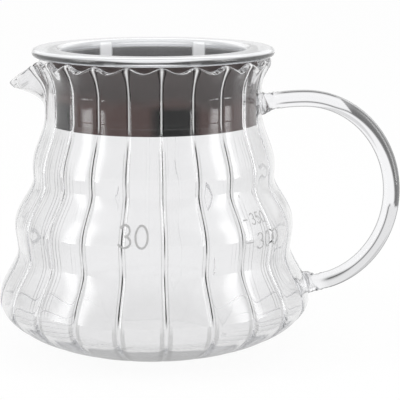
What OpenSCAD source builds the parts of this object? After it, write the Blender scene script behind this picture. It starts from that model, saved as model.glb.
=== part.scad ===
// Coffee server carafe: a waisted, fluted glass jug with a pinched spout, a fused glass rod
// handle and a pressed glass lid that sits in the neck in a soft sleeve.
// Millimetres. +Z is up and the origin is the middle of the foot's flat. The handle is
// at +X and the spout at -X.

/* [Jug heights] */
// Height of the widest ring above the table
belly_h = 17; // [12:0.5:30]
// Rise from the widest ring to the lower waist
low_waist_rise = 17.5; // [12:0.5:28]
// Rise from the lower waist to the middle bulge
mid_bulge_rise = 9; // [6:0.5:16]
// Rise from the middle bulge to the upper waist
top_waist_rise = 16.3; // [10:0.5:26]
// Rise from the upper waist to the top bulge
top_bulge_rise = 4; // [3:0.5:10]
// Rise from the top bulge to the straight part of the neck
shoulder_rise = 19.2; // [12:0.5:30]
// Length of the straight part of the neck
neck_len = 8; // [6:0.5:16]
// Height of the turned-out lip above the straight neck
lip_rise = 11; // [6:0.1:14]

/* [Jug widths] */
// Diameter of the flat under the foot
foot_d = 37; // [30:0.5:60]
// Outside diameter of the widest ring
belly_d = 110.4; // [96:0.2:140]
// Outside diameter of the lower waist
low_waist_d = 96.8; // [84:0.2:120]
// Outside diameter of the middle bulge
mid_bulge_d = 98.6; // [86:0.2:124]
// Outside diameter of the upper waist
top_waist_d = 85; // [76:0.2:104]
// Outside diameter of the top bulge
top_bulge_d = 85.4; // [78:0.2:106]
// Outside diameter of the neck
neck_d = 76; // [60:0.2:90]
// How far the lip turns out beyond the neck
lip_out = 3; // [2:0.1:6]

/* [Glass] */
// Wall of the blown jug
wall_t = 1.5; // [1.3:0.1:3]
// Thickness of the jug's floor
floor_t = 2.6; // [1.8:0.1:5]
// Thickness of the rounded rim
rim_t = 2.4; // [1.6:0.1:3.6]

/* [Flutes] */
// Number of lobes round the jug
flutes = 22; // [16:1:30]
// Depth of the crease between two lobes
flute_depth = 0.8; // [0.3:0.1:1.1]
// Depth of the crease at the rim
rim_crease = 0.2; // [0.1:0.1:1]
// How much lower the rim is on a lobe than at a crease
rim_scallop = 1.7; // [0.2:0.1:2.5]
// Height over which the creases fade out above the table
flute_fade = 6; // [3:0.5:10]

/* [Spout] */
// How far the spout's tip stands out beyond the rim
spout_out = 9.3; // [5:0.1:16]
// How far the tip lies below the rim
spout_drop = 8.2; // [2:0.1:10]
// Width of the spout where it leaves the rim
spout_w = 27; // [18:0.5:36]

/* [Handle] */
// Diameter of the glass rod
rod_d = 5.9; // [4.5:0.1:8]
// Distance from the widest ring out to the middle of the rod
handle_out = 28.8; // [20:0.2:40]
// Height of the rod's outermost point
handle_mid_h = 54; // [46:0.5:62]
// Height of the upper weld above the bottom of the straight neck
top_weld_rise = 2.4; // [0:0.2:5]
// Rise of the rod from the upper weld to its highest point
crown_rise = 1.9; // [0.5:0.1:5]
// Run of the rod from the neck to its highest point
crown_run = 15; // [8:0.5:20]
// Height of the lower weld above the widest ring
low_weld_rise = 3.8; // [1:0.2:8]
// Diameter of the flared weld at each end
weld_d = 8.4; // [7:0.1:11]
// Length of the flare at each end
weld_len = 4.5; // [3:0.1:8]
// Depth to which a weld is fused into the wall
weld_sink = 1; // [0.9:0.1:1.2]

/* [Lid] */
// How far the lid's flange stands out beyond the rim
flange_out = 1.2; // [0.5:0.1:6]
// Thickness of the lid's flange
flange_t = 3; // [2:0.1:5]
// Wall of the lid's well
well_wall = 1.8; // [1.4:0.1:3]
// Thickness of the lid's floor
well_floor = 2.2; // [1.6:0.1:4]
// Radius inside the bottom corner of the well
well_fillet = 2.5; // [1:0.1:5]
// Radius over which the flange rounds into the mouth of the well
mouth_round = 1.8; // [0.5:0.1:2]

/* [Sleeve] */
// Thickness of the soft sleeve round the well
sleeve_t = 1.8; // [1.2:0.1:3]
// Length of the sleeve below the lid's flange
sleeve_len = 23.4; // [12:0.2:30]
// How far the lid's floor reaches below the sleeve
well_below = 0.8; // [0:0.1:3]

/* [Clearances] */
// Gap between the sleeve and the neck, and between the lid's flange and the rim
seat_gap = 0.3; // [0.1:0.05:0.6]
// Gap between the sleeve and the lid's well
sleeve_gap = 0.05; // [0:0.01:0.2]

/* [Hidden] */
$fn = 96;

low_waist_h = belly_h + low_waist_rise;
mid_bulge_h = low_waist_h + mid_bulge_rise;
top_waist_h = mid_bulge_h + top_waist_rise;
top_bulge_h = top_waist_h + top_bulge_rise;
neck_h = top_bulge_h + shoulder_rise;
neck_top_h = neck_h + neck_len;
rim_h = neck_top_h + lip_rise;

foot_r = foot_d / 2;
belly_r = belly_d / 2;
low_waist_r = low_waist_d / 2;
mid_bulge_r = mid_bulge_d / 2;
top_waist_r = top_waist_d / 2;
top_bulge_r = top_bulge_d / 2;
neck_r = neck_d / 2;
rim_r = neck_r + lip_out;
lip_r = rim_t / 2;
lip_h = rim_h - lip_r;

// The base is a superellipse of this power, and each tier leans out just below its waist
base_power = 1.86;
tier_lean = 0.83;
lip_power = 1.8;

// Direction of the crease nearest the handle. Each lobe swells a little between its creases,
// and the crease itself is narrow: the powers of the two curves and the share of the narrow one.
crease_start = -2.6;
pitch = 360 / flutes;
lobe_power = 2;
crease_power = 10;
crease_share = 0.7;
spout_angle = 180;
spout_half = asin(spout_w / 2 / rim_r);
// Share of the spout's height at which it has reached its full width, and how it curves out
spout_full_share = 0.85;
spout_power = 2.4;

// Places of the points across one lobe, as shares of it
lobe_shares = [0, 0.12, 0.5, 0.88];
spout_lobe_shares = [0, 0.1, 0.2, 0.35, 0.5, 0.65, 0.8, 0.9];

// A smooth step from 0 to 1
function ease(t) = (1 - cos(180 * t)) / 2;
function mix(a, b, t) = a + (b - a) * t;
function rise(z, low, high) = min(1, max(0, (z - low) / (high - low)));

// Outline of the bowl from the flat at height low to the widest ring
function bowl_r(z, low, widest) =
    mix(foot_r, widest, pow(1 - pow(1 - rise(z, low, belly_h), base_power), 1 / base_power));

// Outer radius of the jug on the middle of a lobe, at height z
function outer_r(z) =
    z < belly_h ? bowl_r(z, 0, belly_r)
    : z < low_waist_h ? mix(belly_r, low_waist_r,
        1 - ease(pow(1 - rise(z, belly_h, low_waist_h), tier_lean)))
    : z < mid_bulge_h ? mix(low_waist_r, mid_bulge_r, ease(rise(z, low_waist_h, mid_bulge_h)))
    : z < top_waist_h ? mix(mid_bulge_r, top_waist_r,
        1 - ease(pow(1 - rise(z, mid_bulge_h, top_waist_h), tier_lean)))
    : z < top_bulge_h ? mix(top_waist_r, top_bulge_r, ease(rise(z, top_waist_h, top_bulge_h)))
    : z < neck_h ? mix(top_bulge_r, neck_r, ease(rise(z, top_bulge_h, neck_h)))
    : neck_r + lip_out * pow(rise(z, neck_top_h, lip_h), lip_power);

// How steeply the outer wall leans at height z, measured over a small part of the wall
slope_step = wall_t / 10;
function slope(z) = (outer_r(z + slope_step) - outer_r(z - slope_step)) / (2 * slope_step);

// Inner radius at height z, and how far above z the inner surface meets it: the tiers are
// one wall thickness in from the outside, measured square to the glass
function tilt(z) = z < belly_h || z >= neck_h ? 0 : slope(z) / norm([1, slope(z)]);
function inner_r(z) =
    z < belly_h ? bowl_r(z, floor_t, belly_r - wall_t)
    : z < neck_h ? outer_r(z) - wall_t / norm([1, slope(z)])
    : outer_r(z) - mix(wall_t, rim_t, rise(z, neck_top_h, lip_h));

// 1 at a crease, falling to 0 on the middle of the lobe: evenly, and as the crease's depth does
function side(a) =
    let (turn = (a - crease_start) / pitch)
    abs(1 - 2 * (turn - floor(turn)));
function crease(a) = mix(pow(side(a), lobe_power), pow(side(a), crease_power), crease_share);

// 1 along the middle of the spout, falling to 0 at its sides
function spout(a) =
    let (off = abs(a - spout_angle))
    off < spout_half ? pow(cos(90 * off / spout_half), 2) : 0;

// Share of the spout's full reach at height z
function spout_reach(z) = min(1, pow(rise(z, neck_h, lip_h) / spout_full_share, spout_power));

// Depth of the creases outside and inside at height z
function at_rim(z) = pow(rise(z, neck_top_h, lip_h), 2);
function crease_out(z) = mix(flute_depth * ease(rise(z, 0, flute_fade)), rim_crease, at_rim(z));
function crease_in(z) = rim_crease * at_rim(z);

// How far the rim's scallops and the spout lower a point at height z
function sag(z, a) =
    spout_drop * spout(a) * rise(z, neck_h, lip_h)
    + rim_scallop * (1 - ease(side(a))) * (1 - spout(a)) * rise(z, neck_top_h, lip_h);

// A point of the glass at radius r and height z, with the spout and the crease worked in
function glass_point(r, z, depth, a) =
    let (reach = spout(a) * spout_reach(z))
    let (full_r = r + spout_out * reach - depth * crease(a) * (1 - reach))
    [full_r * cos(a), full_r * sin(a), z - sag(z, a)];

// Directions of the points round one ring: more of them where the spout is drawn out
near_spout = spout_half + pitch / 2;
ring_angles = [
    for (i = [0 : flutes - 1])
        let (start = crease_start + i * pitch)
        let (at_spout = abs(start + pitch / 2 - spout_angle) < near_spout)
        for (share = at_spout ? spout_lobe_shares : lobe_shares)
            start + share * pitch
];

// Heights of the rings: even steps between one level and the next
function steps(low, high, count) = [for (i = [0 : count - 1]) mix(low, high, i / count)];
function bowl_steps(low, count) =
    [for (i = [0 : count - 1]) mix(low, belly_h, 1 - pow(cos(90 * i / count), 2 / base_power))];

outer_heights = concat(
    bowl_steps(0, 6),
    steps(belly_h, low_waist_h, 5),
    steps(low_waist_h, mid_bulge_h, 2),
    steps(mid_bulge_h, top_waist_h, 4),
    steps(top_waist_h, top_bulge_h, 1),
    steps(top_bulge_h, neck_h, 4),
    steps(neck_h, lip_h, 8)
);
inner_heights = concat(
    bowl_steps(floor_t, 3),
    steps(belly_h, low_waist_h, 3),
    steps(low_waist_h, mid_bulge_h, 1),
    steps(mid_bulge_h, top_waist_h, 2),
    steps(top_waist_h, top_bulge_h, 1),
    steps(top_bulge_h, neck_h, 2),
    steps(neck_h, lip_h, 5)
);
lip_turns = [0, 60, 120, 180];

function outer_ring(z) = [for (a = ring_angles) glass_point(outer_r(z), z, crease_out(z), a)];
function inner_ring(z) =
    [for (a = ring_angles) glass_point(inner_r(z), z, crease_in(z), a) + [0, 0, wall_t * tilt(z)]];
function lip_ring(turn) =
    [for (a = ring_angles)
        glass_point(rim_r - lip_r + lip_r * cos(turn), lip_h, rim_crease, a)
        + [0, 0, lip_r * sin(turn)]];

// One closed skin through rings of equal length, from the first ring's flat to the last one's
module skin(rings) {
    count = len(rings[0]);
    last = (len(rings) - 1) * count;
    sides = [
        for (j = [0 : len(rings) - 2])
            for (i = [0 : count - 1])
                let (next = (i + 1) % count)
                let (low = j * count)
                let (high = low + count)
                for (half = [[low + i, high + i, high + next], [low + i, high + next, low + next]])
                    half
    ];
    first_cap = [for (i = [0 : count - 1]) i];
    last_cap = [for (i = [count - 1 : -1 : 0]) last + i];
    polyhedron([for (ring = rings) for (p = ring) p], concat([first_cap], sides, [last_cap]));
}

module jug_body() {
    down = len(inner_heights) - 1;
    color([0.86, 0.88, 0.88, 0.45])
        skin(concat(
            [for (z = outer_heights) outer_ring(z)],
            [for (turn = lip_turns) lip_ring(turn)],
            [for (k = [down : -1 : 0]) inner_ring(inner_heights[k])]
        ));
}

// The rod leaves the neck, climbs a little to its crown, bends round through its outermost
// point and comes back to the wall just above the widest ring.
rod_r = rod_d / 2;
top_weld_h = neck_h + top_weld_rise;
low_weld_h = belly_h + low_weld_rise;
crown_x = neck_r + crown_run;
crown_h = top_weld_h + crown_rise;
far_x = belly_r + handle_out;
top_weld_x = outer_r(top_weld_h) - weld_sink;
low_weld_x = outer_r(low_weld_h) - weld_sink;
rod_sides = 16;

lead = [
    for (t = [0 : 0.25 : 0.75])
        [mix(top_weld_x, crown_x, t), crown_h - crown_rise * pow(1 - t, 2)]
];
upper_bend = [
    for (t = [0 : 7.5 : 82.5])
        [crown_x + (far_x - crown_x) * sin(t), handle_mid_h + (crown_h - handle_mid_h) * cos(t)]
];
lower_bend = [
    for (t = [0 : 7.5 : 90])
        [low_weld_x + (far_x - low_weld_x) * cos(t), handle_mid_h - (handle_mid_h - low_weld_h) * sin(t)]
];
rod_path = concat(lead, upper_bend, lower_bend);

// Distance along the rod's middle line from one of its points to the end that is nearer
function run(path, i, j) = i >= j ? 0 : norm(path[i + 1] - path[i]) + run(path, i + 1, j);
function flare_r(i) =
    let (from_end = min(run(rod_path, 0, i), run(rod_path, i, len(rod_path) - 1)))
    mix(weld_d / 2, rod_r, ease(min(1, from_end / weld_len)));

function rod_ring(i) =
    let (ahead = rod_path[i + 1] - rod_path[i - 1])
    let (along = ahead / norm(ahead))
    let (r = flare_r(i))
    [for (k = [0 : rod_sides - 1])
        let (turn = 360 * k / rod_sides)
        [rod_path[i].x - along.y * r * cos(turn), r * sin(turn), rod_path[i].y + along.x * r * cos(turn)]];

// A weld's end follows the jug's wall, a little below its surface
function weld_ring(h, up) =
    [for (k = [0 : rod_sides - 1])
        let (turn = 360 * k / rod_sides)
        let (z = h + up * weld_d / 2 * cos(turn))
        let (y = weld_d / 2 * sin(turn))
        [sqrt(pow(outer_r(z) - weld_sink, 2) - y * y), y, z]];

module handle() {
    color([0.8, 0.82, 0.82, 0.6])
        skin(concat(
            [weld_ring(top_weld_h, 1)],
            [for (i = [1 : len(rod_path) - 2]) rod_ring(i)],
            [weld_ring(low_weld_h, -1)]
        ));
}

// The lid hangs by its flange on the rim's crests, and the sleeve fills the neck round its well
sleeve_r = neck_r - wall_t - seat_gap;
sleeve_bore_r = sleeve_r - sleeve_t;
well_r = sleeve_bore_r - sleeve_gap;
well_bore_r = well_r - well_wall;
flange_h = rim_h + seat_gap;
flange_r = rim_r + flange_out;
flange_edge = flange_t / 2;
sleeve_bottom_h = flange_h - sleeve_len;
well_bottom_h = sleeve_bottom_h - well_below;
lid_top_h = flange_h + flange_t;
corner_r = well_fillet + well_wall;
sleeve_edge = sleeve_t / 2;

// A box in the revolve's plane, from its inner lower corner
module slab(x, y, w, h) {
    translate([x, y]) square([w, h]);
}

// The space to be cut away to round the corner at (x, y) to radius r. The solid lies from the
// corner towards along and up, each 1 or -1.
module corner_cut(x, y, r, along, up) {
    difference() {
        slab(min(x, x + along * r), min(y, y + up * r), r, r);
        translate([x + along * r, y + up * r]) circle(r = r);
    }
}

module lid_glass() {
    color([0.82, 0.84, 0.84, 0.5])
        rotate_extrude() {
            difference() {
                slab(well_bore_r, flange_h, flange_r - flange_edge - well_bore_r, flange_t);
                corner_cut(well_bore_r, lid_top_h, mouth_round, 1, -1);
            }
            translate([flange_r - flange_edge, flange_h + flange_edge]) circle(r = flange_edge);
            difference() {
                slab(0, well_bottom_h, well_r, flange_h - well_bottom_h);
                corner_cut(well_r, well_bottom_h, corner_r, -1, 1);
                difference() {
                    slab(0, well_bottom_h + well_floor, well_bore_r, flange_h - well_bottom_h);
                    corner_cut(well_bore_r, well_bottom_h + well_floor, well_fillet, -1, 1);
                }
            }
        }
}

module lid_gasket() {
    color([0.33, 0.28, 0.27])
        rotate_extrude()
            difference() {
                slab(sleeve_bore_r, sleeve_bottom_h, sleeve_t, sleeve_len);
                corner_cut(sleeve_r, sleeve_bottom_h, sleeve_edge, -1, 1);
            }
}

jug_body();
handle();
lid_glass();
lid_gasket();
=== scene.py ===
import math

import bpy
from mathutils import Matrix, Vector


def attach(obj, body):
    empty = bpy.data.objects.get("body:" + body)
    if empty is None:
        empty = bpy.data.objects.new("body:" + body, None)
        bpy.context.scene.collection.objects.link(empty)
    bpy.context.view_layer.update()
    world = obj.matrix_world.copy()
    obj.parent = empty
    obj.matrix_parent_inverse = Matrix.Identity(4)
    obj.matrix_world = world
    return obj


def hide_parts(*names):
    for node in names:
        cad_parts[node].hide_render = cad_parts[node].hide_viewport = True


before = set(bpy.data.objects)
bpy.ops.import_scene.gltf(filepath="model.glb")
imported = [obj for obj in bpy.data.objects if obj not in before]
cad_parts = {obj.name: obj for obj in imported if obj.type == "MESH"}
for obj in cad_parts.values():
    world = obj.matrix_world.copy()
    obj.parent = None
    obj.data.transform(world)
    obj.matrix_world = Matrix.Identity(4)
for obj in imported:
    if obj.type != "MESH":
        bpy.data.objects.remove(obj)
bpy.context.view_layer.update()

# Sizes of the object are in millimetres, and this factor turns them into metres
MM = 0.001

# The camera stands 0.53 m from its aim and looks down by 11 degrees, as in the photograph
CAMERA_DISTANCE = 532 * MM
CAMERA_PITCH = math.radians(11.1)
CAMERA_AIM = Vector((16.2, 0, 51.0)) * MM
CAMERA_LENS = 135
CAMERA_SENSOR = 36
CAMERA_CLIP = (0.01, 50)

# Heights of the jug's levels
BELLY_H = 17.0
LOW_WAIST_H = BELLY_H + 17.5
MID_BULGE_H = LOW_WAIST_H + 9.0
TOP_WAIST_H = MID_BULGE_H + 16.3
TOP_BULGE_H = TOP_WAIST_H + 4.0
NECK_H = TOP_BULGE_H + 19.2
NECK_TOP_H = NECK_H + 8.0
RIM_H = NECK_TOP_H + 11.0

# Outer radii of the jug at those levels
FOOT_R = 18.5
BELLY_R = 55.2
LOW_WAIST_R = 48.4
MID_BULGE_R = 49.3
TOP_WAIST_R = 42.5
TOP_BULGE_R = 42.7
NECK_R = 38.0
LIP_OUT = 3.0
RIM_R = NECK_R + LIP_OUT

WALL_T = 1.5
FLOOR_T = 2.6
RIM_T = 2.4
LIP_R = RIM_T / 2
LIP_H = RIM_H - LIP_R

# Powers that give the roundness of the base, the lean of the tiers and the curl of the lip
BASE_POWER = 1.86
TIER_LEAN = 0.83
LIP_POWER = 1.8
# Half the height over which the wall's slope is measured
SLOPE_STEP = 0.15

# The creases: how many, how deep, how sharp, and the angle of the first. The inner wall has
# INNER_SHARE of the outer depth in the body and NECK_INNER_SHARE of it at NECK_CALM_H
FLUTES = 22
PITCH = 360 / FLUTES
FLUTE_DEPTH = 0.8
RIM_CREASE = 0.2
RIM_SCALLOP = 1.7
FLUTE_FADE = 6.0
INNER_SHARE = 0.2
NECK_INNER_SHARE = 0.15
NECK_CALM_H = NECK_H - 5
LOBE_POWER = 2
CREASE_POWER = 10
CREASE_SHARE = 0.7
CREASE_START = -2.6

SPOUT_OUT = 9.3
SPOUT_DROP = 8.2
SPOUT_W = 27.0
SPOUT_HALF = math.degrees(math.asin(SPOUT_W / 2 / RIM_R))
SPOUT_ANGLE = 180
SPOUT_FULL_SHARE = 0.85
SPOUT_POWER = 2.4

# The handle's rod and its two welds
ROD_R = 2.95
WELD_R = 4.2
WELD_LEN = 4.5
WELD_SINK = 1.0
HANDLE_OUT = 28.8
HANDLE_MID_H = 54.0
TOP_WELD_H = NECK_H + 2.4
LOW_WELD_H = BELLY_H + 3.8
CROWN_RISE = 1.9
CROWN_RUN = 15.0

# The lid and its sleeve
SEAT_GAP = 0.3
SLEEVE_T = 1.8
SLEEVE_LEN = 23.4
SLEEVE_CORNER = 0.3
SLEEVE_GAP = 0.05
FLANGE_OUT = 1.2
FLANGE_T = 3.0
FLANGE_FILLET = 0.6
MOUTH_ROUND = 1.8
WELL_WALL = 1.8
WELL_FLOOR = 2.2
WELL_FILLET = 2.5
WELL_BELOW = 0.8

SLEEVE_R = NECK_R - WALL_T - SEAT_GAP
SLEEVE_BORE_R = SLEEVE_R - SLEEVE_T
WELL_R = SLEEVE_BORE_R - SLEEVE_GAP
WELL_BORE_R = WELL_R - WELL_WALL
FLANGE_H = RIM_H + SEAT_GAP
FLANGE_R = RIM_R + FLANGE_OUT
SLEEVE_BOTTOM_H = FLANGE_H - SLEEVE_LEN
WELL_BOTTOM_H = SLEEVE_BOTTOM_H - WELL_BELOW
LID_TOP_H = FLANGE_H + FLANGE_T
CORNER_R = WELL_FILLET + WELL_WALL


def ease(t):
    return (1 - math.cos(math.pi * t)) / 2


def mix(a, b, t):
    return a + (b - a) * t


def rise(z, low, high):
    """0 up to low, 1 from high on, and a straight line between them."""
    return min(1.0, max(0.0, (z - low) / (high - low)))


def bowl_r(z, low, widest):
    """Radius of the rounded base, from the foot at low out to the widest part of the belly."""
    share = (1 - (1 - rise(z, low, BELLY_H)) ** BASE_POWER) ** (1 / BASE_POWER)
    return mix(FOOT_R, widest, share)


def outer_r(z):
    """Radius of the jug's outside between two creases."""
    if z < BELLY_H:
        return bowl_r(z, 0, BELLY_R)
    if z < LOW_WAIST_H:
        back = ease((1 - rise(z, BELLY_H, LOW_WAIST_H)) ** TIER_LEAN)
        return mix(LOW_WAIST_R, BELLY_R, back)
    if z < MID_BULGE_H:
        return mix(LOW_WAIST_R, MID_BULGE_R, ease(rise(z, LOW_WAIST_H, MID_BULGE_H)))
    if z < TOP_WAIST_H:
        back = ease((1 - rise(z, MID_BULGE_H, TOP_WAIST_H)) ** TIER_LEAN)
        return mix(TOP_WAIST_R, MID_BULGE_R, back)
    if z < TOP_BULGE_H:
        return mix(TOP_WAIST_R, TOP_BULGE_R, ease(rise(z, TOP_WAIST_H, TOP_BULGE_H)))
    if z < NECK_H:
        return mix(TOP_BULGE_R, NECK_R, ease(rise(z, TOP_BULGE_H, NECK_H)))
    return NECK_R + LIP_OUT * rise(z, NECK_TOP_H, LIP_H) ** LIP_POWER


def inner_point(z):
    """Radius and height of the inner surface, one wall in from the outside at height z."""
    if z < BELLY_H:
        return bowl_r(z, FLOOR_T, BELLY_R - WALL_T), z
    if z >= NECK_H:
        return outer_r(z) - mix(WALL_T, RIM_T, rise(z, NECK_TOP_H, LIP_H)), z
    slope = (outer_r(z + SLOPE_STEP) - outer_r(z - SLOPE_STEP)) / (2 * SLOPE_STEP)
    length = math.hypot(1, slope)
    return outer_r(z) - WALL_T / length, z + WALL_T * slope / length


def side(a):
    """How far an angle lies from the middle of its lobe: 0 there and 1 at the crease."""
    turn = (a - CREASE_START) / PITCH
    return abs(1 - 2 * (turn - math.floor(turn)))


def crease(a):
    return mix(side(a) ** LOBE_POWER, side(a) ** CREASE_POWER, CREASE_SHARE)


def spout(a):
    """1 at the middle of the spout, 0 where it ends at either side."""
    off = abs(a - SPOUT_ANGLE)
    return math.cos(math.radians(90 * off / SPOUT_HALF)) ** 2 if off < SPOUT_HALF else 0.0


def spout_reach(z):
    return min(1.0, (rise(z, NECK_H, LIP_H) / SPOUT_FULL_SHARE) ** SPOUT_POWER)


def crease_out(z):
    """Depth of the creases in the outside at height z."""
    depth = FLUTE_DEPTH * ease(rise(z, 0, FLUTE_FADE))
    return mix(depth, RIM_CREASE, rise(z, NECK_TOP_H, LIP_H) ** 2)


def crease_in(z):
    """Depth of the creases in the inner surface at height z."""
    depth = INNER_SHARE * FLUTE_DEPTH * ease(rise(z, FLOOR_T, FLOOR_T + FLUTE_FADE))
    depth = mix(depth, NECK_INNER_SHARE * FLUTE_DEPTH, rise(z, TOP_BULGE_H, NECK_CALM_H))
    return mix(depth, RIM_CREASE, rise(z, NECK_TOP_H, LIP_H) ** 2)


def sag(z, a):
    """How far the wall hangs lower than z: at the spout, and between two creases of the rim."""
    lip = rise(z, NECK_TOP_H, LIP_H)
    return (SPOUT_DROP * spout(a) * rise(z, NECK_H, LIP_H)
            + RIM_SCALLOP * (1 - ease(side(a))) * (1 - spout(a)) * lip)


def glass_point(r, z, depth, a):
    """The point in metres at radius r, height z and angle a, with the creases and the spout."""
    reach = spout(a) * spout_reach(z)
    full_r = r + SPOUT_OUT * reach - depth * crease(a) * (1 - reach)
    angle = math.radians(a)
    return (full_r * math.cos(angle) * MM, full_r * math.sin(angle) * MM, (z - sag(z, a)) * MM)


def new_mesh(name, points, faces, material):
    mesh = bpy.data.meshes.new(name)
    mesh.from_pydata(points, [], faces)
    mesh.validate()
    piece = bpy.data.objects.new(name, mesh)
    bpy.context.scene.collection.objects.link(piece)
    mesh.materials.append(material)
    return piece


def new_piece(name, points, faces, body, node, material):
    """A smooth mesh that stands for one CAD node and rides on its body."""
    piece = new_mesh(name, points, faces, material)
    for polygon in piece.data.polygons:
        polygon.use_smooth = True
    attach(piece, body)
    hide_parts(node)
    return piece


def write_values(piece, name, values):
    """Writes one number for each point of a mesh, for its material to read."""
    piece.data.attributes.new(name, "FLOAT", "POINT").data.foreach_set("value", values)


def skin(rings):
    """Points and faces of one skin through rings of equal length, open at both ends."""
    count = len(rings[0])
    points = [p for ring in rings for p in ring]
    faces = []
    for j in range(len(rings) - 1):
        low = j * count
        high = low + count
        for i in range(count):
            n = (i + 1) % count
            faces.append((low + i, low + n, high + n, high + i))
    return points, faces


def cap(points, faces, first, count, centre, upward):
    """Closes a ring with a fan round a centre point."""
    points.append(centre)
    middle = len(points) - 1
    for i in range(count):
        n = (i + 1) % count
        faces.append((middle, first + i, first + n) if upward else (middle, first + n, first + i))


def steps(low, high, count):
    """A number of even steps from low up to, but without, high."""
    return [mix(low, high, i / count) for i in range(count)]


def bowl_steps(low, count):
    """Heights in the rounded base, closer together near the foot."""
    return [mix(low, BELLY_H, 1 - math.cos(math.radians(90 * i / count)) ** (2 / BASE_POWER))
            for i in range(count)]


# How many rings of points each part of the jug's wall has
BOWL_RINGS = 36
WALL_RINGS = ((BELLY_H, LOW_WAIST_H, 24), (LOW_WAIST_H, MID_BULGE_H, 12),
              (MID_BULGE_H, TOP_WAIST_H, 22), (TOP_WAIST_H, TOP_BULGE_H, 6),
              (TOP_BULGE_H, NECK_H, 20), (NECK_H, LIP_H, 26))
# Shares across one lobe, closer together at the crease, and angles of the points in a ring
LOBE_SHARES = [0, .02, .045, .08, .13, .2, .29, .39, .5, .61, .71, .8, .87, .92, .955, .98]
JUG_ANGLES = [CREASE_START + (lobe + share) * PITCH for lobe in range(FLUTES) for share in LOBE_SHARES]
# Angles over the rounded lip, from its outside to its inside
LIP_TURNS = range(0, 181, 18)


def jug_heights(low):
    """Heights of the rings, from the foot or floor at low up to the lip."""
    return bowl_steps(low, BOWL_RINGS) + [z for part in WALL_RINGS for z in steps(*part)]


def make_jug(material):
    rings = [[glass_point(outer_r(z), z, crease_out(z), a) for a in JUG_ANGLES] for z in jug_heights(0)]
    for turn in LIP_TURNS:
        r = RIM_R - LIP_R + LIP_R * math.cos(math.radians(turn))
        up = LIP_R * math.sin(math.radians(turn)) * MM
        ring = [glass_point(r, LIP_H, RIM_CREASE, a) for a in JUG_ANGLES]
        rings.append([(x, y, z + up) for x, y, z in ring])
    inner = []
    for z in jug_heights(FLOOR_T):
        r, height = inner_point(z)
        ring = [glass_point(r, z, crease_in(z), a) for a in JUG_ANGLES]
        inner.append([(x, y, h + (height - z) * MM) for x, y, h in ring])
    rings += inner[::-1]
    points, faces = skin(rings)
    count = len(JUG_ANGLES)
    cap(points, faces, 0, count, (0, 0, 0), False)
    cap(points, faces, (len(rings) - 1) * count, count, (0, 0, FLOOR_T * MM), True)
    piece = new_piece("jug_blown_glass", points, faces, "jug", "jug_body", material)
    outer_points = (len(jug_heights(0)) + len(LIP_TURNS) // 2) * count
    outer = [1.0 if i < outer_points else 0.0 for i in range(len(piece.data.vertices))]
    write_values(piece, "outer", outer)


ROD_SIDES = 120
ROD_TURNS = [2 * math.pi * k / ROD_SIDES for k in range(ROD_SIDES)]
CROWN_STEPS = 24
BEND_STEPS = 60

# The welds' lumps: their height, how far from the rod's end they start, how many lie round the
# rod, and how they twist and wave along it, in radians a millimetre
WELD_LUMP = 0.35
LUMP_START = (0.5, 1.5)
LUMPS_ROUND = 3
LUMP_TWIST = 1.4
LUMP_WAVE = 2.6


def rod_path():
    """Points of the rod's middle line in the XZ plane, from the upper weld to the lower one."""
    crown_x = NECK_R + CROWN_RUN
    crown_h = TOP_WELD_H + CROWN_RISE
    far_x = BELLY_R + HANDLE_OUT
    top_x = outer_r(TOP_WELD_H) - WELD_SINK
    low_x = outer_r(LOW_WELD_H) - WELD_SINK
    quarter = math.pi / 2
    path = [(mix(top_x, crown_x, t), crown_h - CROWN_RISE * (1 - t) ** 2)
            for t in steps(0, 1, CROWN_STEPS)]
    path += [(crown_x + (far_x - crown_x) * math.sin(turn),
              HANDLE_MID_H + (crown_h - HANDLE_MID_H) * math.cos(turn))
             for turn in steps(0, quarter, BEND_STEPS)]
    path += [(low_x + (far_x - low_x) * math.cos(turn),
              HANDLE_MID_H - (HANDLE_MID_H - LOW_WELD_H) * math.sin(turn))
             for turn in steps(0, quarter, BEND_STEPS) + [quarter]]
    return path


def weld_ring(h, up):
    """The rod's end ring, which follows the jug's wall a little inside its surface."""
    ring = []
    for turn in ROD_TURNS:
        z = h + up * WELD_R * math.cos(turn)
        y = WELD_R * math.sin(turn)
        ring.append((math.sqrt((outer_r(z) - WELD_SINK) ** 2 - y * y) * MM, y * MM, z * MM))
    return ring


def rod_ring(before, here, after, end):
    """The ring round one point of the path, from its two neighbours and its distance to the end."""
    length = math.hypot(after[0] - before[0], after[1] - before[1])
    tx, tz = (after[0] - before[0]) / length, (after[1] - before[1]) / length
    lump = WELD_LUMP * rise(end, *LUMP_START) * (1 - rise(end, WELD_LEN, 2 * WELD_LEN))
    lump *= math.sin(LUMP_WAVE * end)
    ring = []
    for turn in ROD_TURNS:
        r = mix(WELD_R, ROD_R, ease(min(1.0, end / WELD_LEN)))
        r += lump * math.sin(LUMPS_ROUND * turn + LUMP_TWIST * end)
        ring.append(((here[0] - tz * r * math.cos(turn)) * MM, r * math.sin(turn) * MM,
                     (here[1] + tx * r * math.cos(turn)) * MM))
    return ring


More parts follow.
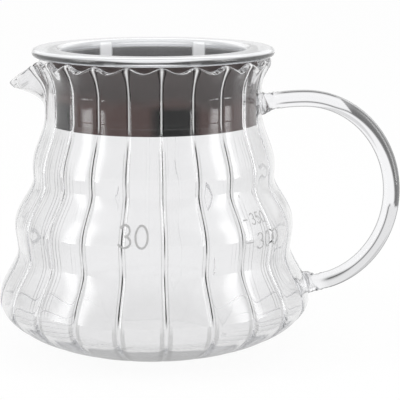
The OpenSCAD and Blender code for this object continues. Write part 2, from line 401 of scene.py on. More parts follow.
def make_handle(material):
    path = rod_path()
    along = [0.0]
    for (x0, z0), (x1, z1) in zip(path, path[1:]):
        along.append(along[-1] + math.hypot(x1 - x0, z1 - z0))
    rings = [weld_ring(TOP_WELD_H, 1)]
    for i in range(1, len(path) - 1):
        end = min(along[i], along[-1] - along[i])
        rings.append(rod_ring(path[i - 1], path[i], path[i + 1], end))
    rings.append(weld_ring(LOW_WELD_H, -1))
    points, faces = skin(rings)
    for first, upward in ((0, False), ((len(rings) - 1) * ROD_SIDES, True)):
        ring = points[first:first + ROD_SIDES]
        centre = tuple(sum(p[i] for p in ring) / ROD_SIDES for i in range(3))
        cap(points, faces, first, ROD_SIDES, centre, upward)
    faces = [face[::-1] for face in faces]
    piece = new_piece("handle_glass_rod", points, faces, "jug", "handle", material)
    mark_rod(piece, along)


# The painted grey streak on the rod's outer half, a painted dark reflection. Its start and end are
# shares of the rod's length. Its other places say how far out a point lies on the round, from -1 inside
# the loop to 1 at the crest
STREAK_START = (0.225, 0.285)
STREAK_END = (0.6, 0.612)
STREAK_INNER = (-0.04, 0.35)
STREAK_FADE = 0.06
STREAK_FIRST = 0.8
STREAK_OUTER = 0.96
STREAK_OUTER_END = 1.05
STREAK_CREST = (0.84, 0.95)
STREAK_GAIN = 4

# The faint shade on the rod's outer side, past the streak's end
LOW_SHADE = 0.3
LOW_SHADE_SOFT = 0.2

# The thin painted dark lines, painted dark refractions: one along the whole rod, which joins the
# streak's inner edge where there is a streak, and one further out near each weld
LINE_OUT = -0.3
LINE_HALF = 0.1
TOP_LINE_OUT = 0.87
TOP_LINE_END = (0.22, 0.26)
LOW_LINE_START = (0.84, 0.9)


def mark_rod(piece, along):
    """Writes how strong the painted grey reflection streak, the painted shade past it and the thin
    painted dark lines are at each point of the rod.
    """
    streak, line = [], []
    for length in along:
        share = length / along[-1]
        opened = rise(share, *STREAK_START)
        full = opened * (1 - rise(share, *STREAK_END))
        inner = mix(*STREAK_INNER, rise(share, STREAK_START[1], STREAK_END[0]))
        streak_edge = mix(1.0, inner, opened)
        streak_tone = min(full * STREAK_GAIN, 1) * mix(STREAK_FIRST, 1.0, opened)
        clear_of_welds = ease(rise(min(length, along[-1] - length), WELD_LEN, 2 * WELD_LEN))
        low = rise(share, *LOW_LINE_START)
        outer_line = max(1 - rise(share, *TOP_LINE_END), low)
        line_out = mix(LINE_OUT, inner, ease(full))
        line_half = LINE_HALF * (1 + low)
        for turn in ROD_TURNS:
            out = math.cos(turn)
            # Painted dark reflection: the grey streak on the rod's outer half
            strength = streak_tone * rise(out, streak_edge, streak_edge + STREAK_FADE)
            strength *= mix(1.0, STREAK_OUTER, rise(out, streak_edge, STREAK_OUTER_END))
            strength *= 1 - rise(out, *STREAK_CREST)
            shade = LOW_SHADE * (opened - full) * rise(out, LINE_OUT, LINE_OUT + LOW_SHADE_SOFT)
            streak.append(max(strength, clear_of_welds * shade))
            # Painted shade: the thin dark lines along the rod
            dark = math.exp(-((out - line_out) / line_half) ** 2)
            outer = outer_line * math.exp(-((out - TOP_LINE_OUT) / LINE_HALF) ** 2)
            line.append(clear_of_welds * max(dark, outer))
    for name, values in (("streak", streak), ("line", line)):
        values += [0.0] * (len(piece.data.vertices) - len(values))
        write_values(piece, name, values)


def oval(x, y, rx, ry, start, end, count):
    """Points of an oval's arc, by angle in degrees."""
    turns = [math.radians(mix(start, end, i / count)) for i in range(count + 1)]
    return [(x + rx * math.cos(turn), y + ry * math.sin(turn)) for turn in turns]


def arc(x, y, r, start, end, count):
    """Points of a round arc, by angle in degrees."""
    return oval(x, y, r, r, start, end, count)


TURNS = 256
ON_AXIS = 1e-9


def revolve(outline):
    """Points and faces of a closed outline turned round the Z axis; the outline may touch the axis."""
    points, faces, rows = [], [], []
    for r, z in outline:
        if r < ON_AXIS:
            rows.append([len(points)] * TURNS)
            points.append((0, 0, z * MM))
        else:
            rows.append([len(points) + i for i in range(TURNS)])
            points += [(r * math.cos(2 * math.pi * i / TURNS) * MM,
                        r * math.sin(2 * math.pi * i / TURNS) * MM, z * MM) for i in range(TURNS)]
    closed = rows if outline[0][0] < ON_AXIS else rows + rows[:1]
    for low, high in zip(closed, closed[1:]):
        for i in range(TURNS):
            n = (i + 1) % TURNS
            face = [low[i], low[n], high[n], high[i]]
            face = [v for k, v in enumerate(face) if v not in face[:k]]
            if len(face) > 2:
                faces.append(tuple(face))
    return points, faces


def make_lid(material):
    edge = FLANGE_T / 2
    mouth = MOUTH_ROUND
    floor_h = WELL_BOTTOM_H + WELL_FLOOR
    outline = [(0, WELL_BOTTOM_H)]
    outline += arc(WELL_R - CORNER_R, WELL_BOTTOM_H + CORNER_R, CORNER_R, -90, 0, count=14)
    outline += [(WELL_R, mix(WELL_BOTTOM_H + CORNER_R, FLANGE_H, t)) for t in (.3, .6, .9)]
    outline += arc(WELL_R + FLANGE_FILLET, FLANGE_H - FLANGE_FILLET, FLANGE_FILLET, 180, 90, count=5)
    outline += [(mix(WELL_R, FLANGE_R, t), FLANGE_H) for t in (.4, .7)]
    outline += arc(FLANGE_R - edge, FLANGE_H + edge, edge, -90, 90, count=16)
    outline += [(mix(WELL_BORE_R, FLANGE_R, t), LID_TOP_H) for t in (.6, .3)]
    outline += arc(WELL_BORE_R + mouth, LID_TOP_H - mouth, mouth, 90, 180, count=8)
    outline += [(WELL_BORE_R, mix(LID_TOP_H, WELL_BOTTOM_H, t)) for t in (.2, .5, .75)]
    outline += arc(WELL_BORE_R - WELL_FILLET, floor_h + WELL_FILLET, WELL_FILLET, 0, -90, count=12)
    outline += [(0, floor_h)]
    points, faces = revolve(outline)
    new_piece("lid_pressed_glass", points, faces, "lid", "lid_glass", material)


def make_sleeve(material):
    edge, corner = SLEEVE_T / 2, SLEEVE_CORNER
    outline = arc(SLEEVE_BORE_R + corner, SLEEVE_BOTTOM_H + corner, corner, 180, 270, count=4)
    outline += arc(SLEEVE_R - edge, SLEEVE_BOTTOM_H + edge, edge, -90, 0, count=8)
    outline += [(SLEEVE_R, mix(SLEEVE_BOTTOM_H, FLANGE_H, t)) for t in (.3, .6, .9)]
    outline += [(SLEEVE_R, FLANGE_H), (SLEEVE_BORE_R, FLANGE_H)]
    points, faces = revolve(outline)
    new_piece("lid_soft_sleeve", points, faces, "lid", "lid_gasket", material)


# The printed marks are thin ribbons that lie on the glass. Their levels are where the jug's
# inside holds 300 and 350 ml
PRINT_PROUD = 0.06
PRINT_SUNK = 0.03
PRINT_STEP = 0.35
FRONT_ANGLE = -90
LEVEL_300_H = 43.7
LEVEL_350_H = 51.0

# Each number with its lower left corner, measured round the glass from the front and up, its
# height and the width of its strokes
NUMBERS = (("30", -10.6, LEVEL_300_H + 0.9, 7.0, 0.7),
           ("300", 39.5, LEVEL_300_H - 2.6, 5.2, 0.5),
           ("350", 38.5, LEVEL_350_H - 1.7, 3.4, 0.35))
# Each tick's two ends and its height
TICKS = ((34.4, 37.6, LEVEL_300_H), (35.0, 37.0, LEVEL_350_H))
TICK_W = 0.4
# The step from one digit to the next, as a share of their height, and the steps in their curves
DIGIT_PITCH = 0.82
DIGIT_ARC = 18
DIGIT_RING = 32

# Strokes of the digits, in a box 0.6 wide and 1 high
DIGITS = {
    "0": [oval(0.3, 0.5, 0.29, 0.5, 0, 360, DIGIT_RING)],
    "3": [oval(0.29, 0.755, 0.25, 0.245, 160, -90, DIGIT_ARC)
          + oval(0.29, 0.26, 0.3, 0.26, 90, -160, DIGIT_ARC)],
    "5": [[(0.54, 1.0), (0.11, 1.0), (0.05, 0.53)]
          + oval(0.28, 0.32, 0.3, 0.32, 130, -155, DIGIT_ARC)],
}


def text_strokes(text, x, y, height):
    """Strokes of a number whose lower left corner lies at x, y."""
    strokes = []
    for letter in text:
        strokes += [[(x + u * height, y + v * height) for u, v in stroke] for stroke in DIGITS[letter]]
        x += DIGIT_PITCH * height
    return strokes


def resample(stroke):
    """The same stroke with points no further apart than PRINT_STEP."""
    points = []
    for (x0, y0), (x1, y1) in zip(stroke, stroke[1:]):
        count = max(1, math.ceil(math.hypot(x1 - x0, y1 - y0) / PRINT_STEP))
        points += [(mix(x0, x1, i / count), mix(y0, y1, i / count)) for i in range(count)]
    return points + [stroke[-1]]


def on_glass(x, z, out):
    """The point of the jug's outside x millimetres round from its front, at height z."""
    angle = FRONT_ANGLE + math.degrees(x / outer_r(LEVEL_300_H))
    return glass_point(outer_r(z) + out, z, crease_out(z), angle)


def add_stroke(points, faces, stroke, width):
    """One closed flat ribbon along a stroke, a little proud of the glass and let into it."""
    line = resample(stroke)
    first = len(points)
    for i, (x, z) in enumerate(line):
        (x0, z0), (x1, z1) = line[max(i - 1, 0)], line[min(i + 1, len(line) - 1)]
        length = math.hypot(x1 - x0, z1 - z0)
        across = ((z0 - z1) / length * width / 2, (x1 - x0) / length * width / 2)
        for sign, out in ((1, PRINT_PROUD), (-1, PRINT_PROUD), (-1, -PRINT_SUNK), (1, -PRINT_SUNK)):
            points.append(on_glass(x + sign * across[0], z + sign * across[1], out))
    for i in range(len(line) - 1):
        low = first + 4 * i
        for k in range(4):
            n = (k + 1) % 4
            faces.append((low + k, low + n, low + 4 + n, low + 4 + k))
    last = first + 4 * (len(line) - 1)
    faces.append((first + 3, first + 2, first + 1, first))
    faces.append((last, last + 1, last + 2, last + 3))


def make_print(material):
    points, faces = [], []
    for text, x, z, height, width in NUMBERS:
        for stroke in text_strokes(text, x, z, height):
            add_stroke(points, faces, stroke, width)
    for start, end, z in TICKS:
        add_stroke(points, faces, [(start, z), (end, z)], TICK_W)
    piece = new_mesh("printed_marks", points, faces, material)
    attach(piece, "jug")


class Graph:
    """The nodes of a material or of the world, with short ways to add and join them."""

    def __init__(self, owner):
        owner.use_nodes = True
        self.nodes = owner.node_tree.nodes
        self.links = owner.node_tree.links

    def add(self, kind):
        return self.nodes.new("ShaderNode" + kind)

    def feed(self, socket, value):
        """Joins an output to an input, or writes a plain number or colour into the input."""
        if isinstance(value, bpy.types.NodeSocket):
            self.links.new(value, socket)
        else:
            socket.default_value = value

    def maths(self, operation, *values):
        """A Math node on outputs or plain numbers; returns its output."""
        node = self.add("Math")
        node.operation = operation
        for socket, value in zip(node.inputs, values):
            self.feed(socket, value)
        return node.outputs[0]

    def product(self, first, *others):
        for other in others:
            first = self.maths("MULTIPLY", first, other)
        return first

    def linear(self, value, factor, offset):
        """A value times a factor, plus an offset."""
        return self.maths("MULTIPLY_ADD", value, factor, offset)

    def apart(self, value, centre):
        """How far a value lies from a centre, on either side."""
        return self.maths("ABSOLUTE", self.maths("SUBTRACT", value, centre))

    def step(self, value, low, high, start, end):
        """A value that goes smoothly from start to end as the first goes from low to high."""
        node = self.add("MapRange")
        node.interpolation_type = "SMOOTHSTEP"
        names = ("Value", "From Min", "From Max", "To Min", "To Max")
        for name, given in zip(names, (value, low, high, start, end)):
            self.feed(node.inputs[name], given)
        return node.outputs["Result"]

    def band(self, value, low, high, soft):
        """1 while a value lies between low and high, fading to 0 over the soft distance outside."""
        up = self.step(value, low - soft, low, 0.0, 1.0)
        down = self.step(value, high, high + soft, 1.0, 0.0)
        return self.product(up, down)

    def blend(self, share, first, second, kind="MIX"):
        """A colour that goes from the first to the second by a share."""
        node = self.add("Mix")
        node.data_type = "RGBA"
        node.blend_type = kind
        for name, value in (("Factor", share), ("A", first), ("B", second)):
            self.feed(node.inputs[name], value)
        return node.outputs["Result"]

    def ramp(self, value, first, second):
        """A colour that goes from the first to the second as a value goes from 0 to 1."""
        node = self.add("ValToRGB")
        for element, colour in zip(node.color_ramp.elements, (first, second)):
            element.color = colour
        self.feed(node.inputs["Fac"], value)
        return node.outputs["Color"]

    def noise(self, scale):
        """Noise between 0 and 1, with about as many lumps to a metre as the scale says."""
        node = self.add("TexNoise")
        node.inputs["Scale"].default_value = scale
        self.feed(node.inputs["Vector"], self.add("TexCoord").outputs["Object"])
        return node.outputs["Fac"]

    def place(self, kind):
        """X, Y and Z of the Object coordinates in metres, or of the world's Generated ones."""
        split = self.add("SeparateXYZ")
        self.feed(split.inputs[0], self.add("TexCoord").outputs[kind])
        return split.outputs

    def around(self):
        """Angle round the jug in radians, radius and height in millimetres of a point."""
        x, y, z = self.place("Object")
        square = self.maths("MULTIPLY_ADD", x, x, self.product(y, y))
        radius = self.product(self.maths("SQRT", square), 1 / MM)
        return self.maths("ARCTAN2", y, x), radius, self.product(z, 1 / MM)

    def facing(self):
        """0 where a surface is seen square on, 1 where it is seen edge on."""
        return self.add("LayerWeight").outputs["Facing"]

    def front_only(self, value):
        """A value on the side that faces out of the glass, and 0 or less on the side within."""
        return self.maths("SUBTRACT", value, self.add("NewGeometry").outputs["Backfacing"])

    def written(self, name):
        """The numbers written on the mesh's points, on its front side only."""
        mark = self.add("Attribute")
        mark.attribute_name = name
        return self.maths("MAXIMUM", self.front_only(mark.outputs["Fac"]), 0.0)

    def mix_shaders(self, share, first, second):
        node = self.add("MixShader")
        for socket, value in zip(node.inputs, (share, first, second)):
            self.feed(socket, value)
        return node.outputs[0]


def new_material(name):
    """A new material, its graph and its shader."""
    material = bpy.data.materials.new(name)
    graph = Graph(material)
    return material, graph, graph.nodes["Principled BSDF"]


def grey(tone):
    return tone, tone, tone, 1


def opaque(colour):
    return *colour, 1


GLASS_IOR = 1.47
ABSORPTION = 8.0
# The waves of a glass surface: lumps to a metre, depth, and the share of the tint in the hollows
WAVE_SCALE = 60
WAVE_DEPTH = 0.5 * MM
TINT_LOW = 0.98


def glass_material(name, tint, absorbed, ripple, edge, painted_edge_shade):
    """Clear glass with faint waviness, with painted shade where it is seen edge on, which stands in for
    dark reflections at its edges, and darker where light goes far through it. Returns the material, its
    graph and shader, and the colour for the shader."""
    material, graph, shader = new_material(name)
    shader.inputs["Roughness"].default_value = 0.0
    shader.inputs["IOR"].default_value = GLASS_IOR
    shader.inputs["Transmission Weight"].default_value = 1.0
    waves = graph.noise(WAVE_SCALE)
    bump = graph.add("Bump")
    bump.inputs["Strength"].default_value = ripple
    bump.inputs["Distance"].default_value = WAVE_DEPTH
    graph.feed(bump.inputs["Height"], waves)
    graph.feed(shader.inputs["Normal"], bump.outputs["Normal"])
    colour = graph.ramp(waves, opaque(c * TINT_LOW for c in tint), opaque(tint))
    # Painted shade: the colour goes darker where the glass is seen edge on, in place of dark reflections
    # at its edges
    turned = graph.step(graph.facing(), *edge, 0.0, 1.0)
    colour = graph.blend(turned, colour, grey(painted_edge_shade))
    inside = graph.add("VolumeAbsorption")
    inside.inputs["Color"].default_value = opaque(absorbed)
    inside.inputs["Density"].default_value = ABSORPTION
    graph.feed(graph.nodes["Material Output"].inputs["Volume"], inside.outputs[0])
    return material, graph, shader, colour


# The painted lines at the jug's creases, which stand in for the light and shade that the creases bend,
# in millimetres. Two numbers are a line's half width without and with its soft edge. Three are the
# nearest and furthest distance from the crease, or the lowest and highest level, and how softly it ends
# there
BODY_HEIGHTS = (22, SLEEVE_BOTTOM_H - 4, 4)
BODY_LINE = (0.32, 0.5)
BODY_LINE_TONE = 0.005
# The painted black line, a painted dark refraction, fades as the surface turns away, to the share that
# is left of it
LINE_FADE = (0.04, 0.1)
LINE_FADED = 0.12
# Fine painted grey lines beside the crease, painted dark refractions on the parts that turn away, in
# patches
FINE_LINE_GAP = 1.5
FINE_LINE = (0.08, 0.22)
FINE_REACH = (0.5, 4.5, 0.5)
FINE_FADE = (0.15, 0.4)
FINE_LINE_TONE = 0.3
FINE_PATCHES = 45
FINE_PATCH_EDGE = (0.42, 0.6)
FINE_LEFT = 0.1
# Painted soft bands beside each crease on the rounded base, and faint painted grey lines beside it all
# the way up, both standing in for the studio seen bent through the glass
BASE_LINE = (0.8, 1.9, 0.4)
BASE_LINE_HEIGHTS = (2, 16, 5)
BASE_LINE_TONE = 0.55
SIDE_LINE = (0.95, 1.1, 0.2)
SIDE_LINE_HEIGHTS = (4, SLEEVE_BOTTOM_H - 6, 3)
SIDE_LINE_TONE = 0.6
# Painted bright lines, painted highlights, with painted dark edges round the neck, twice as wide at the
# lip
NECK_HEIGHTS = (SLEEVE_BOTTOM_H + 3, LIP_H, 3)
NECK_LINE = (0.1, 0.34)
NECK_LINE_TONE = 0.8
NECK_LINE_HAZE = 0.75
NECK_EDGE = (0.5, 0.65, 0.15)
NECK_EDGE_TONE = 0.12
NECK_WIDER = (LIP_H - 5, LIP_H)
NECK_WIDER_SHARE = 0.5


def jug_material():
    """Blown glass with painted lines at the creases that stand in for the light and shade the creases
    bend: a thin painted black line in each crease of the body where it is seen square on, finer painted
    grey lines where it turns away, and painted soft bands on the base. Round the neck, in front of the
    dark sleeve, the same creases get painted bright lines, painted highlights with painted dark edges."""
    material, graph, shader, colour = glass_material(
        "jug_clear_glass", tint=(0.94, 0.94, 0.945), absorbed=(0.7, 0.71, 0.73),
        ripple=0.2, edge=(0.25, 0.6), painted_edge_shade=0.8)
    turn, radius, height = graph.around()
    share = graph.linear(turn, FLUTES / (2 * math.pi), FLUTES - CREASE_START / PITCH)
    off = graph.product(graph.maths("PINGPONG", share, 0.5), 2 * math.pi / FLUTES, radius)
    # Painted shade: fine grey lines beside the creases
    fine = graph.step(graph.maths("PINGPONG", off, FINE_LINE_GAP / 2), *FINE_LINE, 1.0, 0.0)
    fine = graph.product(fine, graph.band(off, *FINE_REACH),
                         graph.step(graph.facing(), *FINE_FADE, 0.0, 1.0),
                         graph.step(graph.noise(FINE_PATCHES), *FINE_PATCH_EDGE, FINE_LEFT, 1.0))
    # Painted shade: grey lines and soft bands beside the creases
    side_line = graph.band(off, *SIDE_LINE)
    base_line = graph.band(off, *BASE_LINE)
    # Painted shade: the black line in each crease, a painted dark refraction
    core = graph.product(graph.step(off, *BODY_LINE, 1.0, 0.0),
                         graph.step(graph.facing(), *LINE_FADE, 1.0, LINE_FADED))
    # Painted highlights: bright lines in the neck's creases, with painted dark edges beside them
    neck_off = graph.product(off, graph.step(height, *NECK_WIDER, 1.0, NECK_WIDER_SHARE))
    dark = graph.band(neck_off, *NECK_EDGE)
    bright = graph.step(neck_off, *NECK_LINE, 1.0, 0.0)
    outside = graph.written("outer")
    for line, heights, tone in ((fine, BODY_HEIGHTS, FINE_LINE_TONE),
                                (side_line, SIDE_LINE_HEIGHTS, SIDE_LINE_TONE),
                                (base_line, BASE_LINE_HEIGHTS, BASE_LINE_TONE),
                                (core, BODY_HEIGHTS, BODY_LINE_TONE),
                                (dark, NECK_HEIGHTS, NECK_EDGE_TONE),
                                (bright, NECK_HEIGHTS, NECK_LINE_TONE)):
        shown = graph.product(line, graph.product(graph.band(height, *heights), outside))
        colour = graph.blend(shown, colour, grey(tone))
    # The last of those lines, the painted bright one, is hazy too
    graph.feed(shader.inputs["Transmission Weight"], graph.linear(shown, -NECK_LINE_HAZE, 1.0))
    graph.feed(shader.inputs["Base Color"], colour)
    return material


# The lid's flange is made pale and hazy, most of all at its top, as painted light for the bright studio
# seen in it, with a thin painted dark line round its edge, a painted dark reflection, which is narrower
# at the front, back and sides than between them
FLANGE_START = (FLANGE_H - 0.3, FLANGE_H + 0.1)
FLANGE_HAZE_H = (FLANGE_H, FLANGE_H + 2.4)
FLANGE_HAZE = (0.25, 0.56)
FLANGE_EDGE = (FLANGE_R - 1.4, FLANGE_R - 1.2)
FLANGE_LINE_H = FLANGE_H + 1.35
FLANGE_LINE = (0.26, 0.8)
FLANGE_LINE_TURN = (0.1, 0.9)
FLANGE_LINE_ENDS = (0.5, 1.5)
FLANGE_LINE_TONE = 0.1
# Two painted highlights, light patches high in its bore: their angles, half width and softness in
# degrees, and where they lie by height and radius
BORE_PATCHES = (124, 61)
BORE_PATCH_HALF = 4.5
BORE_PATCH_SOFT = 1
BORE_PATCH_HAZE = 0.85
BORE_PATCH_H = (LID_TOP_H - 15, LID_TOP_H - 9)
BORE_PATCH_R = (WELL_BORE_R - 0.3, WELL_BORE_R + 0.2, 0.3)


def lid_material():
    """Pressed glass, clear in the well and made paler in the thick flange as painted light, with a
    painted dark line round the flange's edge and painted highlights in its bore."""
    material, graph, shader, colour = glass_material(
        "lid_clear_glass", tint=(0.96, 0.965, 0.98), absorbed=(0.65, 0.69, 0.74),
        ripple=0.03, edge=(0.9, 1.0), painted_edge_shade=0.7)
    turn, radius, height = graph.around()
    # Painted dark reflection: a thin dark line round the flange's edge
    wide = graph.maths("ABSOLUTE", graph.maths("SINE", graph.product(turn, 2.0)))
    wide = graph.step(wide, *FLANGE_LINE_TURN, *FLANGE_LINE)
    off = graph.maths("DIVIDE", graph.apart(height, FLANGE_LINE_H), wide)
    mark = graph.product(graph.step(off, *FLANGE_LINE_ENDS, 1.0, 0.0),
                         graph.step(radius, *FLANGE_EDGE, 0.0, 1.0))
    colour = graph.blend(mark, colour, grey(FLANGE_LINE_TONE))
    # Painted light: the flange is made hazy and pale, most of all at its top
    painted_light_haze = graph.product(graph.step(height, *FLANGE_HAZE_H, *FLANGE_HAZE),
                         graph.step(height, *FLANGE_START, 0.0, 1.0))
    # Painted highlights: two light patches high in the bore
    bore = graph.product(graph.band(radius, *BORE_PATCH_R),
                         graph.step(height, *BORE_PATCH_H, 0.0, BORE_PATCH_HAZE))
    full = math.radians(BORE_PATCH_HALF - BORE_PATCH_SOFT)
    gone = math.radians(BORE_PATCH_HALF + BORE_PATCH_SOFT)
    for centre in BORE_PATCHES:
        patch = graph.step(graph.apart(turn, math.radians(centre)), full, gone, 1.0, 0.0)
        painted_light_haze = graph.maths("MAXIMUM", graph.product(patch, bore), painted_light_haze)
    painted_light_haze = graph.product(painted_light_haze, graph.front_only(1.0))
    graph.feed(shader.inputs["Transmission Weight"], graph.maths("SUBTRACT", 1.0, painted_light_haze))
    graph.feed(shader.inputs["Base Color"], colour)
    return material


# Tones of the painted dark reflection streak and of the painted dark lines
ROD_PAINTED_REFLECTION_TONE = 0.03
ROD_LINE_TONE = 0.001


def rod_material():
    """Drawn glass rod with painted dark lines along it and a painted dark reflection, a grey streak, on
    its upper outer half.
    """
    material, graph, shader, colour = glass_material(
        "handle_clear_glass", tint=(0.96, 0.96, 0.972), absorbed=(0.7, 0.71, 0.73),
        ripple=0.03, edge=(0.4, 0.75), painted_edge_shade=0.05)
    for name, tone in (("streak", ROD_PAINTED_REFLECTION_TONE), ("line", ROD_LINE_TONE)):
        colour = graph.blend(graph.written(name), colour, grey(tone))
    graph.feed(shader.inputs["Base Color"], colour)
    return material


SLEEVE_ROUGHNESS = 0.5
SLEEVE_SPECULAR = 0.12
# The sleeve is browner below, up to a level that wanders with large soft noise
SLEEVE_GREY = (0.12, 0.108, 0.107)
SLEEVE_BROWN = (0.165, 0.1, 0.092)
SLEEVE_CLOUDS = 55
SLEEVE_WAVE = 14
BROWN_TOP = SLEEVE_BOTTOM_H + SLEEVE_WAVE / 2 + 11
BROWN_SOFT = 3
BROWN_LEFT = 0.2
# Painted shade: darker patches round its lower part: how many, the angle of the first, and their edges,
# as shares of the distance between two patches and as heights
SLEEVE_PAINTED_SHADE = (0.002, 0.002, 0.002)
SLEEVE_PATCHES = 5
SLEEVE_PATCH_TURN = -77
SLEEVE_PATCH_EDGE = (0.12, 0.22)
SLEEVE_PATCH_TOP = (SLEEVE_BOTTOM_H + 8, SLEEVE_BOTTOM_H + 11.5)
# Its bore is painted pale behind the well's glass, painted light that stands in for the bright
# reflections there
SLEEVE_INSIDE_PAINTED_LIGHT = (0.48, 0.47, 0.468)
SLEEVE_INSIDE_R = (SLEEVE_BORE_R + 0.2, SLEEVE_BORE_R + 0.6)
GRAIN_SCALE = 900
GRAIN_SHARE = 0.25


def sleeve_material():
    """Soft dark silicone, satin, with a fine grain, painted shade in patches round its lower part and
    painted light in its bore.
    """
    material, graph, shader = new_material("sleeve_silicone")
    shader.inputs["Roughness"].default_value = SLEEVE_ROUGHNESS
    shader.inputs["Specular IOR Level"].default_value = SLEEVE_SPECULAR
    turn, radius, height = graph.around()
    level = graph.linear(graph.noise(SLEEVE_CLOUDS), SLEEVE_WAVE, height)
    brown = graph.step(level, BROWN_TOP - BROWN_SOFT, BROWN_TOP + BROWN_SOFT, 1.0, BROWN_LEFT)
    colour = graph.blend(brown, opaque(SLEEVE_GREY), opaque(SLEEVE_BROWN))
    share = graph.linear(turn, SLEEVE_PATCHES / (2 * math.pi),
                         SLEEVE_PATCHES - SLEEVE_PATCHES * SLEEVE_PATCH_TURN / 360)
    patch = graph.product(graph.step(graph.maths("PINGPONG", share, 0.5), *SLEEVE_PATCH_EDGE, 1.0, 0.0),
                          graph.step(height, *SLEEVE_PATCH_TOP, 1.0, 0.0))
    # Painted shade: the dark patches round the sleeve's lower part
    colour = graph.blend(patch, colour, opaque(SLEEVE_PAINTED_SHADE))
    inside = graph.step(radius, *SLEEVE_INSIDE_R, 1.0, 0.0)
    # Painted light: the sleeve's bore is made paler
    colour = graph.blend(inside, colour, opaque(SLEEVE_INSIDE_PAINTED_LIGHT))
    colour = graph.blend(GRAIN_SHARE, colour, graph.noise(GRAIN_SCALE), "MULTIPLY")
    graph.feed(shader.inputs["Base Color"], colour)
    return material


INK_ROUGHNESS = 0.6
INK_SPECULAR = 0.3
INK_GRAIN = 1500
INK_TONES = (0.28, 0.46)


def print_material():
    """Matt pale grey ink, a little uneven."""
    material, graph, shader = new_material("pale_ink")
    shader.inputs["Roughness"].default_value = INK_ROUGHNESS
    shader.inputs["Specular IOR Level"].default_value = INK_SPECULAR
    colour = graph.ramp(graph.noise(INK_GRAIN), grey(INK_TONES[0]), grey(INK_TONES[1]))
    graph.feed(shader.inputs["Base Color"], colour)
    return material


# The studio round the object, by what a ray is. The camera sees plain white. Reflections see a
# dim wall in front, a back that is brighter above, two soft boxes and a dimmer ceiling. Light
# that the glass bends sees white walls with pale grey flags. Directions are a ray's X, Y and Z
HORIZON = (0.0, 0.06)
FRONT_TONE = 0.05
FRONT_Y = (-0.72, -0.5)
LOW_BACK_TONE = 0.75
BACK_TONE = 1.6
BACK_Y = (0.3, 0.7)
BACK_Z = (0.12, 0.25)
CEILING_TONE = 0.6
CEILING_Z = (0.6, 0.8)
FLAGS = 8
FLAG_TONE = 0.75
FLAG_EDGES = (0.14, 0.2)

# The soft boxes' brightness, their angles from the front and half width in degrees, the shares
# of that half width over which they fade, and the direction's Z over which they end
BOX_TONE = 4.6
BOX_TURNS = (-66, 73)
BOX_HALF_WIDTH = 11
BOX_EDGES = (0.3, 1.6)
BOX_TOP_Z = (0.55, 0.75)

# The front half of the floor in reflections: a grey table, and past its edge, in metres from the
# axis, the dim wall's tone with the soft boxes, apart from one ring as grey as the table
TABLE_Y = (-0.06, 0.06)
TABLE_TONE = 0.4
TABLE_EDGE = (0.56, 0.6)
TABLE_RING = (0.69, 0.76, 0.02)
FLOOR_BOX_SHARE = 1.6

# The floor itself: its size in metres, its colour, and the share of glow in what is seen of it
FLOOR_SIZE = 12
FLOOR_TONE = 0.9
FLOOR_ROUGHNESS = 0.9
FLOOR_GLOW_SHARE = 0.94

# The world's light on the object
WORLD_STRENGTH = 0.85


def softboxes(graph, x, y):
    """Brightness of the two soft boxes by the direction in which a reflection looks."""
    turn = graph.maths("ARCTAN2", y, x)
    edges = [math.radians(BOX_HALF_WIDTH) * share for share in BOX_EDGES]
    left, right = [graph.step(graph.apart(turn, math.radians(azimuth - 90)), *edges, BOX_TONE, 0.0)
                   for azimuth in BOX_TURNS]
    return graph.maths("ADD", left, right)


def mirror_share(graph):
    """1 for rays that a surface has just reflected, 0 for rays that went through one."""
    path = graph.add("LightPath")
    reflected = graph.maths("SUBTRACT", 1.0, path.outputs["Is Transmission Ray"])
    return graph.product(reflected, path.outputs["Is Glossy Ray"])


def background_share(graph):
    """1 for camera, glossy and transmission rays, 0 for the rays that light the object."""
    path = graph.add("LightPath")
    seen = graph.maths("MAXIMUM", path.outputs["Is Camera Ray"], path.outputs["Is Glossy Ray"])
    return graph.maths("MAXIMUM", seen, path.outputs["Is Transmission Ray"])


def floor_tone(graph):
    """How bright the floor looks: 1 to the camera and through glass, darker in reflections."""
    x, y = graph.place("Object")[:2]
    reach = graph.maths("SQRT", graph.maths("MULTIPLY_ADD", x, x, graph.product(y, y)))
    past = graph.step(reach, *TABLE_EDGE, 0.0, 1.0)
    past = graph.maths("SUBTRACT", past, graph.band(reach, *TABLE_RING))
    table = graph.linear(past, FRONT_TONE - TABLE_TONE, TABLE_TONE - 1)
    boxes = graph.product(softboxes(graph, x, y), past, FLOOR_BOX_SHARE)
    front = graph.product(graph.step(y, *TABLE_Y, 1.0, 0.0), mirror_share(graph))
    return graph.linear(front, graph.maths("ADD", table, boxes), 1.0)


def make_floor():
    bpy.ops.mesh.primitive_plane_add(size=FLOOR_SIZE, location=(0, 0, 0))
    floor = bpy.context.object
    floor.name = "studio_floor"
    material, graph, shader = new_material("floor_white")
    shader.inputs["Base Color"].default_value = grey(FLOOR_TONE)
    shader.inputs["Roughness"].default_value = FLOOR_ROUGHNESS
    shader.inputs["Specular IOR Level"].default_value = 0.0
    glow = graph.add("Emission")
    graph.feed(glow.inputs["Strength"], floor_tone(graph))
    seen = graph.mix_shaders(FLOOR_GLOW_SHARE, shader.outputs[0], glow.outputs[0])
    shown = graph.mix_shaders(background_share(graph), shader.outputs[0], seen)
    graph.feed(graph.nodes["Material Output"].inputs["Surface"], shown)
    floor.data.materials.append(material)


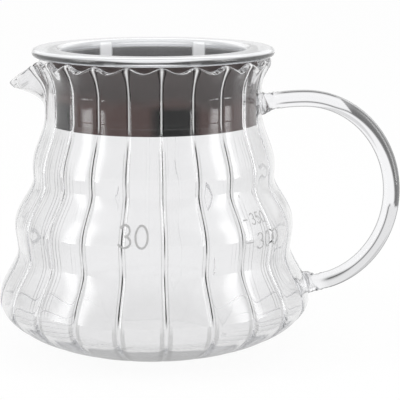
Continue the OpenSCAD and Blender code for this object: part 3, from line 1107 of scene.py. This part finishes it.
def studio_walls(graph):
    """Brightness of the studio in the direction in which a ray leaves."""
    x, y, z = graph.place("Generated")
    above = graph.step(z, *HORIZON, 0.0, 1.0)
    front = graph.product(graph.step(y, *FRONT_Y, 1.0, 0.0), above)
    mirrored = graph.linear(front, FRONT_TONE - 1, 1.0)
    back = graph.product(graph.step(z, *BACK_Z, LOW_BACK_TONE - 1, BACK_TONE - 1),
                         graph.step(y, *BACK_Y, 0.0, 1.0), above)
    mirrored = graph.maths("ADD", mirrored, back)
    boxes = graph.product(softboxes(graph, x, y), graph.step(z, *BOX_TOP_Z, 1.0, 0.0))
    mirrored = graph.maths("ADD", mirrored, boxes)
    mirrored = graph.product(mirrored, graph.step(z, *CEILING_Z, 1.0, CEILING_TONE), mirror_share(graph))
    share = graph.linear(graph.maths("ARCTAN2", y, x), FLAGS / (2 * math.pi), FLAGS + 0.5)
    flag = graph.product(graph.step(graph.maths("PINGPONG", share, 0.5), *FLAG_EDGES, 1.0, 0.0), above)
    path = graph.add("LightPath")
    bent = graph.product(graph.linear(flag, FLAG_TONE - 1, 1.0), path.outputs["Is Transmission Ray"])
    walls = graph.maths("ADD", mirrored, bent)
    return graph.maths("MAXIMUM", walls, path.outputs["Is Camera Ray"])


def make_world():
    world = bpy.data.worlds.new("studio")
    bpy.context.scene.world = world
    graph = Graph(world)
    light = graph.nodes["Background"]
    light.inputs["Color"].default_value = grey(1)
    light.inputs["Strength"].default_value = WORLD_STRENGTH
    seen = graph.add("Background")
    seen.inputs["Color"].default_value = grey(1)
    graph.feed(seen.inputs["Strength"], studio_walls(graph))
    shown = graph.mix_shaders(background_share(graph), light.outputs[0], seen.outputs[0])
    graph.feed(graph.nodes["World Output"].inputs["Surface"], shown)


# The two area lamps: angles from the front and up in degrees, distance and sizes in metres,
# power in watts, and the height on the jug's axis that they aim at
LAMP_TURNS = {"softbox_left": -72, "softbox_right": 64}
LAMP_UP = 16
LAMP_DISTANCE = 0.9
LAMP_WIDTH = 0.3
LAMP_HEIGHT = 0.9
LAMP_POWER = 5
LAMP_AIM_H = 55


def make_lamp(name, azimuth):
    lamp = bpy.data.lights.new(name, "AREA")
    lamp.shape = "RECTANGLE"
    lamp.size = LAMP_WIDTH
    lamp.size_y = LAMP_HEIGHT
    lamp.energy = LAMP_POWER
    box = bpy.data.objects.new(name, lamp)
    az, el = math.radians(azimuth), math.radians(LAMP_UP)
    aim = Vector((0, 0, LAMP_AIM_H * MM))
    away = Vector((math.sin(az) * math.cos(el), -math.cos(az) * math.cos(el), math.sin(el)))
    box.location = aim + away * LAMP_DISTANCE
    box.rotation_euler = (aim - box.location).to_track_quat("-Z", "Y").to_euler()
    box.visible_glossy = False
    box.visible_transmission = False
    bpy.context.scene.collection.objects.link(box)


def make_camera():
    data = bpy.data.cameras.new("camera")
    data.lens = CAMERA_LENS
    data.sensor_width = CAMERA_SENSOR
    data.clip_start, data.clip_end = CAMERA_CLIP
    camera = bpy.data.objects.new("camera", data)
    away = Vector((0, -math.cos(CAMERA_PITCH), math.sin(CAMERA_PITCH)))
    camera.location = CAMERA_AIM + CAMERA_DISTANCE * away
    camera.rotation_euler = (CAMERA_AIM - camera.location).to_track_quat("-Z", "Y").to_euler()
    bpy.context.scene.collection.objects.link(camera)
    bpy.context.scene.camera = camera


# Light goes through many glass walls here, so rays may bounce often
BOUNCES = 64

bpy.context.scene.view_settings.view_transform = "Standard"
bpy.context.scene.cycles.max_bounces = BOUNCES
bpy.context.scene.cycles.transmission_bounces = BOUNCES
bpy.context.scene.cycles.glossy_bounces = BOUNCES
make_camera()
make_world()
make_floor()
for lamp_name, lamp_turn in LAMP_TURNS.items():
    make_lamp(lamp_name, lamp_turn)
make_jug(jug_material())
make_handle(rod_material())
make_lid(lid_material())
make_sleeve(sleeve_material())
make_print(print_material())
